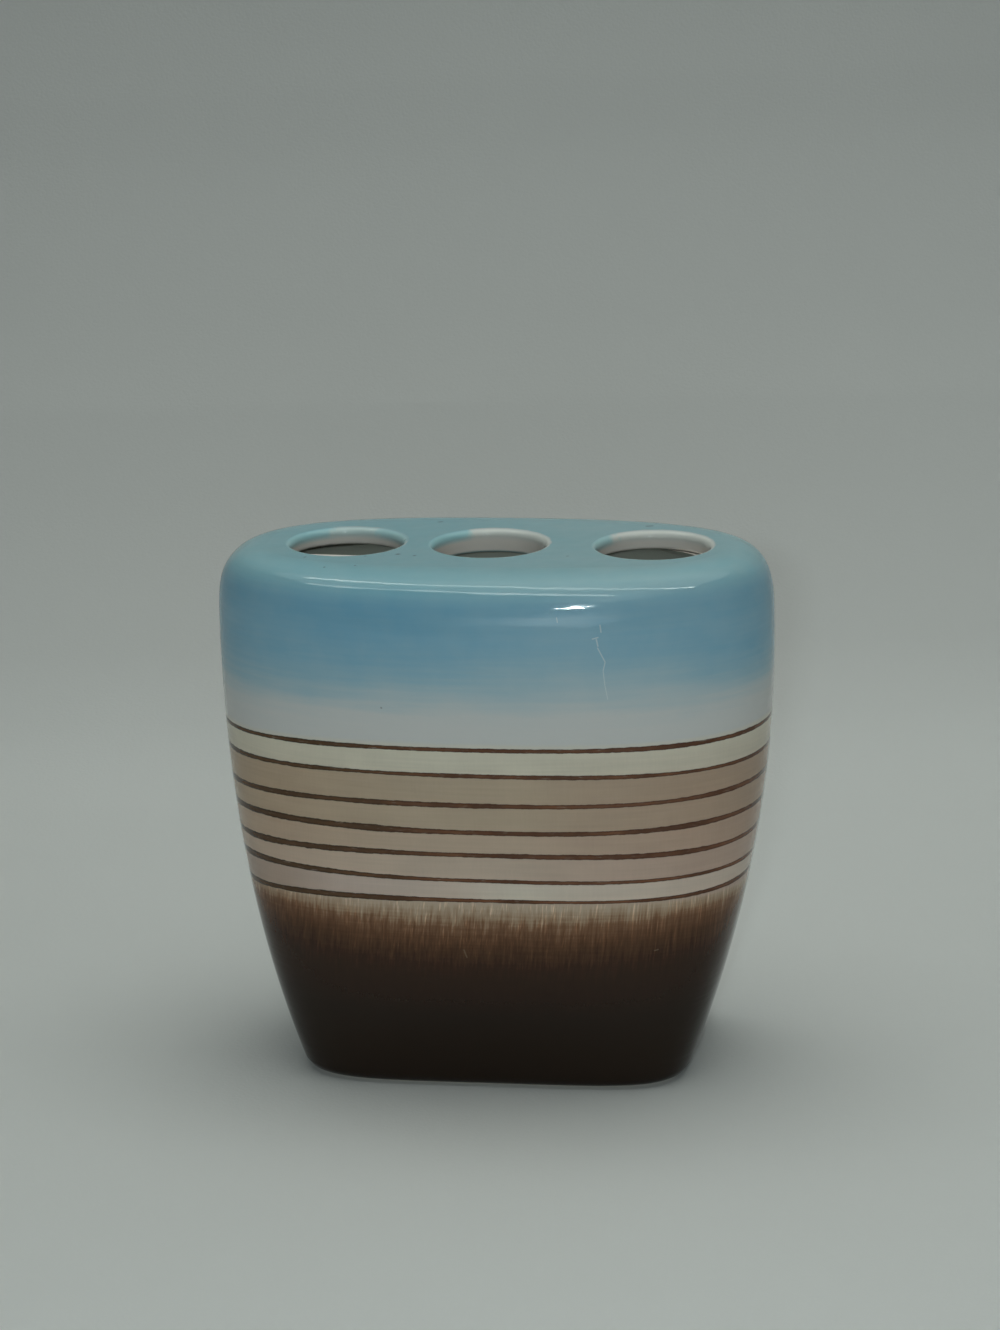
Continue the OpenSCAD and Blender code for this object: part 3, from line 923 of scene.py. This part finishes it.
def glaze(name, gloss, ripple, shine=0.5, shine_tint=(1, 1, 1)):
    """The fired glaze with all that is painted under it. Each slot has its own gloss
    (a roughness) and ripple (in millimetres), and the paint runs on across the slots'
    borders."""
    t = Tree(name)
    t.shader.inputs["Specular IOR Level"].default_value = shine
    t.shader.inputs["Specular Tint"].default_value = (*shine_tint, 1)
    place = t.place()
    x, y, z = t.split(place)
    band, stroke, depth = t.mark("band"), t.mark("stroke"), t.mark("depth")

    color = ground(t, place, x, band)
    color = brown_fade(t, place, x, z, color)
    color = painted_strokes(t, place, x, band, stroke, color)
    reaches = hole_reaches(t, x, y)
    near = t.math("MINIMUM", reaches[0], t.math("MINIMUM", reaches[1], reaches[2]))
    collar = t.times(t.step(near, 12.2, 11.5), t.step(z, 99, 99.4))
    color = t.blend(collar, color, HOLE_WALL)
    blue = t.times(blue_depth(t, place, x, z), rim_cover(t, place, x, y, z, reaches))
    # The top gets the lighter, greener filter: the glaze's greener tone and painted light from
    # above
    wall_blue, lit_top_blue = (
        t.ramp(blue, 0, 1.2, [(share, tuple(c**share for c in tone)) for share in SHARES])
        for tone in (BLUE_FILTER, LIT_TOP_FILTER)
    )
    tint = t.blend(t.step(z, 99, 104), wall_blue, lit_top_blue)
    color = t.blend(1.0, color, tint, "MULTIPLY")

    front, top = t.step(y, -5, -12), t.step(z, 104, 104.6)
    pale, dark, tawny = (0.75, 0.8, 0.8), (0.05, 0.06, 0.05), (0.2, 0.14, 0.09)
    for marks, side, up, tone in (
        (PALE_MARKS, front, z, pale), (DARK_MARKS, front, z, dark),
        (NICKS, front, z, tawny), (PITS, top, y, dark),
    ):
        marked = scratches(t, x, up, marks)
        color = t.blend(t.times(marked, side, 0.6), color, tone)

    inside = t.times(t.step(depth, 2.7, 3.3), t.add(1.0, t.times(collar, -1)))
    bare = t.step(z, 0.7, 0.2)
    grain = t.noise(place, 0.8, 4, 113)
    raw = t.blend(t.step(grain, -1, 1), CLAY_DARK, CLAY)
    color = t.blend(inside, color, t.blend(t.step(z, 4, 8), raw, INSIDE))
    color = t.blend(bare, color, raw)
    unglazed = t.math("MAXIMUM", t.times(inside, 0.35), t.times(bare, 0.6))

    uneven = t.noise(place, 0.5, 3, 127)
    roughness = t.add(gloss, t.times(uneven, gloss * 0.3), unglazed)
    peel = t.noise(place, (0.16, 0.16, 0.22), 2, 131)
    brushing = t.noise(place, (0.05, 0.05, 0.9), 2, 137)
    raised = t.times(t.step(stroke, 1.3, 0.8), 0.4)
    height = t.add(t.times(peel, 0.6), t.times(brushing, 0.25), raised)
    normal = t.bump(height, ripple)
    normal = t.bump(t.times(grain, unglazed), 0.05, normal)
    return t.finish(color, roughness, normal)


def rubber(name):
    """Soft, pale, faintly clouded rubber with moulding grain."""
    t = Tree(name)
    place = t.place()
    cloud = t.noise(place, 0.2, 3, 7)
    grain = t.noise(place, 3, 2, 19)
    color = t.blend(t.step(cloud, -1, 1), (0.62, 0.61, 0.56), (0.72, 0.71, 0.67))
    roughness = t.add(0.45, t.times(grain, 0.06))
    t.shader.inputs["Subsurface Weight"].default_value = 0.15
    t.shader.inputs["Subsurface Radius"].default_value = (0.002, 0.0018, 0.0015)
    return t.finish(color, roughness, t.bump(grain, 0.03))


def paper(name):
    """The matt pale sheet that the part stands on. Its tone changes with the height and the place
    in the room, across and away from the camera's side of it: this is painted shade, darker up the
    backdrop, from the camera's side towards the part, and towards the sides."""
    t = Tree(name)
    place = t.place()
    cloud = t.noise(place, 0.01, 3, 3)
    grain = t.noise(place, 1.2, 2, 5)
    across, away = (
        t.results("ShaderNodeVectorMath", place, direction, operation="DOT_PRODUCT")["Value"]
        for direction in (turned_to_room(1, 0, 0), turned_to_room(0, 1, 0))
    )
    # Painted shade: the sheet is darker higher up, nearer the part than the camera, and towards the
    # sides
    painted_shade_up = [(0, 1), (6, 0.92), (16, 0.84), (48, 0.78), (90, 0.735), (200, 0.72)]
    painted_shade_away = [(-300, 0.89), (-200, 0.865), (0, 0.76), (100, 0.78), (200, 0.79)]
    painted_shade_across = [(-300, 0.93), (-100, 0.985), (0, 1), (100, 1), (300, 0.975)]
    height = t.split(place)[2]
    tone = t.times(t.curve(height, 0, 200, painted_shade_up), t.curve(away, -300, 200, painted_shade_away))
    tone = t.times(tone, t.curve(across, -300, 300, painted_shade_across))
    color = t.scaled((0.99, 1.0, 0.99), t.times(tone, t.add(1.0, t.times(cloud, 0.01))))
    t.shader.inputs["Specular IOR Level"].default_value = 0.2
    t.one_sided()
    return t.finish(color, t.add(0.85, t.times(grain, 0.03)), t.bump(grain, 0.02))


# The camera, fitted to the photo: its angles in degrees, its distance, its shifts and
# its sensor in millimetres, and its focal length and the photo's long side in pixels
CAMERA_TURN, CAMERA_TILT, CAMERA_ROLL = map(math.radians, (-7.768, 16.072, -1.237))
CAMERA_REACH = 700.705
CAMERA_SHIFT_X, CAMERA_SHIFT_UP = -0.657, 26.526
FOCAL_PIXELS, LONG_SIDE, SENSOR = 3500, 1330, 36

# The room's lights, in metres, in the camera's level frame with its middle under
# the part and +Y away from the camera
CEILING_TINT, FRONT_TINT = (0.94, 1.0, 0.94), (0.88, 1.0, 1.0)
CEILING_Z = 1.0
PANEL_NEARS, PANEL_FAR = [-0.45, -0.09], 0.42
PANEL_W, PANEL_SKEW = 1.0, -24.7
PANEL_LIGHTS = [1.0, 1.52]
# What the gloss mirrors of the ceiling: two bent rows of tubes, as x and y, each
# along the near edge of a bright field, with (x, brightness) along each row
TUBE_ROWS = [
    [
        (-0.53, 0.16), (-0.35, 0.13), (-0.17, 0.12), (-0.1, 0.07),
        (0.03, -0.12), (0.26, -0.38), (0.5, -0.51), (0.93, -0.6),
    ],
    [
        (-0.82, -0.2), (-0.5, -0.23), (-0.2, -0.25), (-0.11, -0.35),
        (0.05, -0.58), (0.43, -0.96), (0.87, -1.21),
    ],
]
TUBE_W = 0.06
TUBE_LIGHTS = [
    [(-0.6, 9), (-0.38, 7), (-0.15, 4), (0.15, 4.2), (0.5, 7), (0.93, 12)],
    [(-0.8, 4.5), (-0.3, 4.2), (0.1, 5.0), (0.9, 8.0)],
]
FIELD_LIGHTS = [0.95, 0.75]
# A small lamp that shades the part, the bright spot that the gloss shows, made of two
# lights, a soft glow for the gloss, and a window that does both
LAMP_PLACE, LAMP_AIM = (-0.02, -0.69, 0.285), (0.0, 0.0, 0.05)
LAMP_SIZE, LAMP_LIGHT = (0.025, 0.012), 800.0
GLINT_PLACES = [(0.052, -0.64, 0.402), (0.01, -0.64, 0.402)]
GLINT_SIZES, GLINT_LIGHTS = [(0.07, 0.024), (0.03, 0.008)], [420.0, 200.0]
GLOW_PLACE, GLOW_SIZE, GLOW_LIGHT = (0.3, -0.85, 0.95), (1.1, 0.9), 0.8
WINDOW_PLACE, WINDOW_AIM = (0.0, -1.3, 0.2), (0.0, 0.0, 0.1)
WINDOW_SIZE, WINDOW_LIGHT = (1.2, 0.66), 1.9
FILL_LIGHT = 0.02


def turned_to_room(x, y, z):
    """A vector in the camera's level frame, where +Y is away from it, as one in the
    part's frame."""
    c, s = math.cos(CAMERA_TURN), math.sin(CAMERA_TURN)
    return Vector((x * c + y * s, -x * s + y * c, z))


def place_camera():
    c, s = math.cos(CAMERA_TILT), math.sin(CAMERA_TILT)
    right = turned_to_room(1, 0, 0)
    up = turned_to_room(0, s, c)
    forward = turned_to_room(0, c, -s)
    cr, sr = math.cos(CAMERA_ROLL), math.sin(CAMERA_ROLL)
    place = turned_to_room(
        -CAMERA_SHIFT_X,
        -CAMERA_REACH * c + CAMERA_SHIFT_UP * s,
        CAMERA_REACH * s + CAMERA_SHIFT_UP * c + BODY_H / 2,
    ) * MM
    axes = Matrix((right * cr + up * sr, up * cr - right * sr, -forward)).transposed()
    data = bpy.data.cameras.new("camera")
    data.sensor_width = SENSOR
    data.lens = FOCAL_PIXELS / LONG_SIDE * SENSOR
    data.clip_start, data.clip_end = 0.05, 10
    camera = placed("camera", data)
    camera.matrix_world = Matrix.Translation(place) @ axes.to_4x4()
    bpy.context.scene.camera = camera


def sweep_stage(material):
    """A pale floor that curves up into a backdrop behind the part."""
    near, bend_start, radius, top, half = -4.0, 0.16, 0.22, 1.4, 1.6
    profile = [(near, 0.0), (-0.3, 0.0), (0.0, 0.0)]
    for t in quarter(24):
        profile.append((bend_start + radius * math.sin(t), radius * (1 - math.cos(t))))
    profile.append((bend_start + radius, top))
    points, faces = [], []
    for y, z in profile:
        for x in (-half, half):
            points.append(turned_to_room(x, y, z))
    for i in range(len(profile) - 1):
        faces.append((2 * i, 2 * i + 1, 2 * i + 3, 2 * i + 2))
    mesh = new_mesh("sweep", points, faces, material)
    mesh.polygons.foreach_set("use_smooth", [True] * len(faces))
    made = placed("sweep", mesh)


def point(made, place, aim, skew=0.0):
    """Puts an object at a place in the camera's level frame, with its -Z towards a
    point there, and turns it on itself by the skew."""
    start, end = turned_to_room(*place), turned_to_room(*aim)
    turn = (end - start).to_track_quat("-Z", "Y")
    made.location = start
    made.rotation_mode = "QUATERNION"
    made.rotation_quaternion = turn @ Quaternion((0, 0, 1), math.radians(skew))


def area_light(name, place, aim, size, brightness, tint, skew=0.0):
    """A rectangular light of a given brightness, pointed as point() says."""
    data = bpy.data.lights.new(name, "AREA")
    data.shape = "RECTANGLE"
    data.size, data.size_y = size
    data.energy = brightness * math.pi * size[0] * size[1]
    data.color = tint
    made = placed(name, data)
    point(made, place, aim, skew)
    return made


def glowing_sheet(name, points, faces, material):
    """A sheet that gives light and that the camera doesn't see."""
    made = placed(name, new_mesh(name, points, faces, material))
    made.visible_camera = False
    return made


def glowing(t, tint, strength):
    """A material that only gives light."""
    t.feed(t.shader.inputs["Emission Strength"], strength)
    t.shader.inputs["Emission Color"].default_value = (*tint, 1)
    t.shader.inputs["Base Color"].default_value = (0, 0, 0, 1)
    t.shader.inputs["Roughness"].default_value = 1
    return t.material


def soft_window(name, place, aim, size, brightness, tint):
    """A glowing sheet that fades out towards its edges."""
    half_w, half_h = size[0] / 2, size[1] / 2
    t = Tree(name)
    node, halves = "ShaderNodeVectorMath", (half_w, half_h, 1)
    share = t.results(node, t.own_place(), halves, operation="DIVIDE")[0]
    away = t.results(node, share, operation="LENGTH")["Value"]
    glow = t.times(t.step(away, 1.0, 0.0), brightness)
    corners = [(x * half_w, y * half_h, 0) for x, y in ((-1, -1), (1, -1), (1, 1), (-1, 1))]
    made = glowing_sheet(name, corners, [(3, 2, 1, 0)], glowing(t, tint, glow))
    point(made, place, aim)
    return made


def rounded(path):
    """A smooth path through the same points, with more of them between each pair."""
    points = np.array([path[0], *path, path[-1]])
    made = []
    for a, b, c, d in zip(points, points[1:], points[2:], points[3:]):
        for t in (0, 0.25, 0.5, 0.75):
            bend = (2 * a - 5 * b + 4 * c - d) * t**2 + (3 * (b - c) + d - a) * t**3
            made.append(tuple(b + ((c - a) * t + bend) / 2))
    return made + [path[-1]]


def beside(row, side, z):
    """The edge of a row of tubes on one side of its middle, 1 or -1."""
    ends = [row[0], *row, row[-1]]
    edge = []
    for (x0, y0), (x, y), (x1, y1) in zip(ends, row, ends[2:]):
        half = side * TUBE_W / 2 / math.hypot(x1 - x0, y1 - y0)
        edge.append(turned_to_room(x + (y1 - y0) * half, y - (x1 - x0) * half, z))
    return edge


def mirrored_ceiling():
    """The rows of tubes and the bright fields behind them, for the gloss alone."""
    rows = zip(map(rounded, TUBE_ROWS), TUBE_LIGHTS, FIELD_LIGHTS)
    for i, (row, lights, field) in enumerate(rows):
        count = len(row)
        faces = [(j, j + 1, count + j + 1, count + j) for j in range(count - 1)]
        z = CEILING_Z + 0.02 * i
        t = Tree(f"tube_row_{i + 1}")
        x = t.split(t.own_place())[0]
        glow = t.curve(x, lights[0][0], lights[-1][0], lights)
        points = beside(row, 1, z - 0.01) + beside(row, -1, z - 0.01)
        tube = glowing_sheet(f"tube_row_{i + 1}", points, faces, glowing(t, CEILING_TINT, glow))
        near = [turned_to_room(x, y, z) for x, y in row]
        far = [turned_to_room(x, PANEL_FAR, z) for x, y in row]
        t = Tree(f"field_{i + 1}")
        behind = glowing_sheet(f"field_{i + 1}", near + far, faces, glowing(t, CEILING_TINT, field))
        for made in (tube, behind):
            made.visible_diffuse = False


def ceiling_panels():
    """Soft lights that face straight down, each from its near edge to the far one."""
    c, s = math.cos(math.radians(PANEL_SKEW)), math.sin(math.radians(PANEL_SKEW))
    for i, (near, light) in enumerate(zip(PANEL_NEARS, PANEL_LIGHTS)):
        y, z = (near + PANEL_FAR) / 2, CEILING_Z - 0.01 * i
        place, aim = (-y * s, y * c, z), (-y * s, y * c, 0)
        size = (PANEL_W, PANEL_FAR - near)
        made = area_light(f"panel_{i + 1}", place, aim, size, light, CEILING_TINT, PANEL_SKEW)
        made.visible_glossy = False


def light_room():
    ceiling_panels()
    mirrored_ceiling()
    lamp = area_light("lamp", LAMP_PLACE, LAMP_AIM, LAMP_SIZE, LAMP_LIGHT, FRONT_TINT)
    lamp.visible_glossy = False
    for i, (place, size, light) in enumerate(zip(GLINT_PLACES, GLINT_SIZES, GLINT_LIGHTS)):
        glint = area_light(f"glint_{i + 1}", place, LAMP_AIM, size, light, FRONT_TINT)
        glint.visible_diffuse = False
    soft_window("window", WINDOW_PLACE, WINDOW_AIM, WINDOW_SIZE, WINDOW_LIGHT, FRONT_TINT)
    glow = soft_window("glow", GLOW_PLACE, WINDOW_AIM, GLOW_SIZE, GLOW_LIGHT, FRONT_TINT)
    glow.visible_diffuse = False
    world = bpy.data.worlds.new("room")
    bpy.context.scene.world = world
    world.use_nodes = True
    background = world.node_tree.nodes["Background"]
    background.inputs["Color"].default_value = (*FRONT_TINT, 1)
    background.inputs["Strength"].default_value = FILL_LIGHT


def main():
    white = glaze("white_glaze", gloss=0.06, ripple=0.05)
    tan = glaze("tan_glaze", gloss=0.08, ripple=0.05)
    warm = (1.0, 0.85, 0.72)
    brown = glaze("brown_glaze", gloss=0.08, ripple=0.04, shine=0.4, shine_tint=warm)
    stroke = glaze("brown_line", gloss=0.09, ripple=0.06)
    blue = glaze("blue_glaze", gloss=0.055, ripple=0.04)

    tan_bands = [(line_edge(i + 1, 1), line_edge(i, -1)) for i in range(1, 5)]
    low_band = [(level_at(BROWN_LOW_Z), line_edge(6, -1))]
    top = blue_coat(blue)
    pieces = [
        (body_shell(white), "white_glaze", ["ceramic_body"]),
        (top, "blue_glaze", ["blue_glaze"]),
        (skin_band("tan_wash", tan, tan_bands), "tan_glaze", ["tan_glaze"]),
        (skin_band("brown_coat", brown, low_band), "brown_glaze", ["brown_glaze"]),
    ]
    for line in range(LINE_COUNT):
        name = f"painted_line_{line + 1}"
        made = skin_band(name, stroke, [(line_edge(line, -1), line_edge(line, 1))])
        pieces.append((made, "brown_line", [f"brown_line_{line + 1}"]))
    for made, slot, nodes in pieces:
        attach(made, "holder")
        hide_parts(*nodes)
    plug = stopper(rubber("stopper_rubber"))
    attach(plug, "stopper")
    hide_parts("base_stopper")

    sweep_stage(paper("paper"))
    light_room()
    bpy.context.scene.view_settings.view_transform = "Standard"
    place_camera()


main()
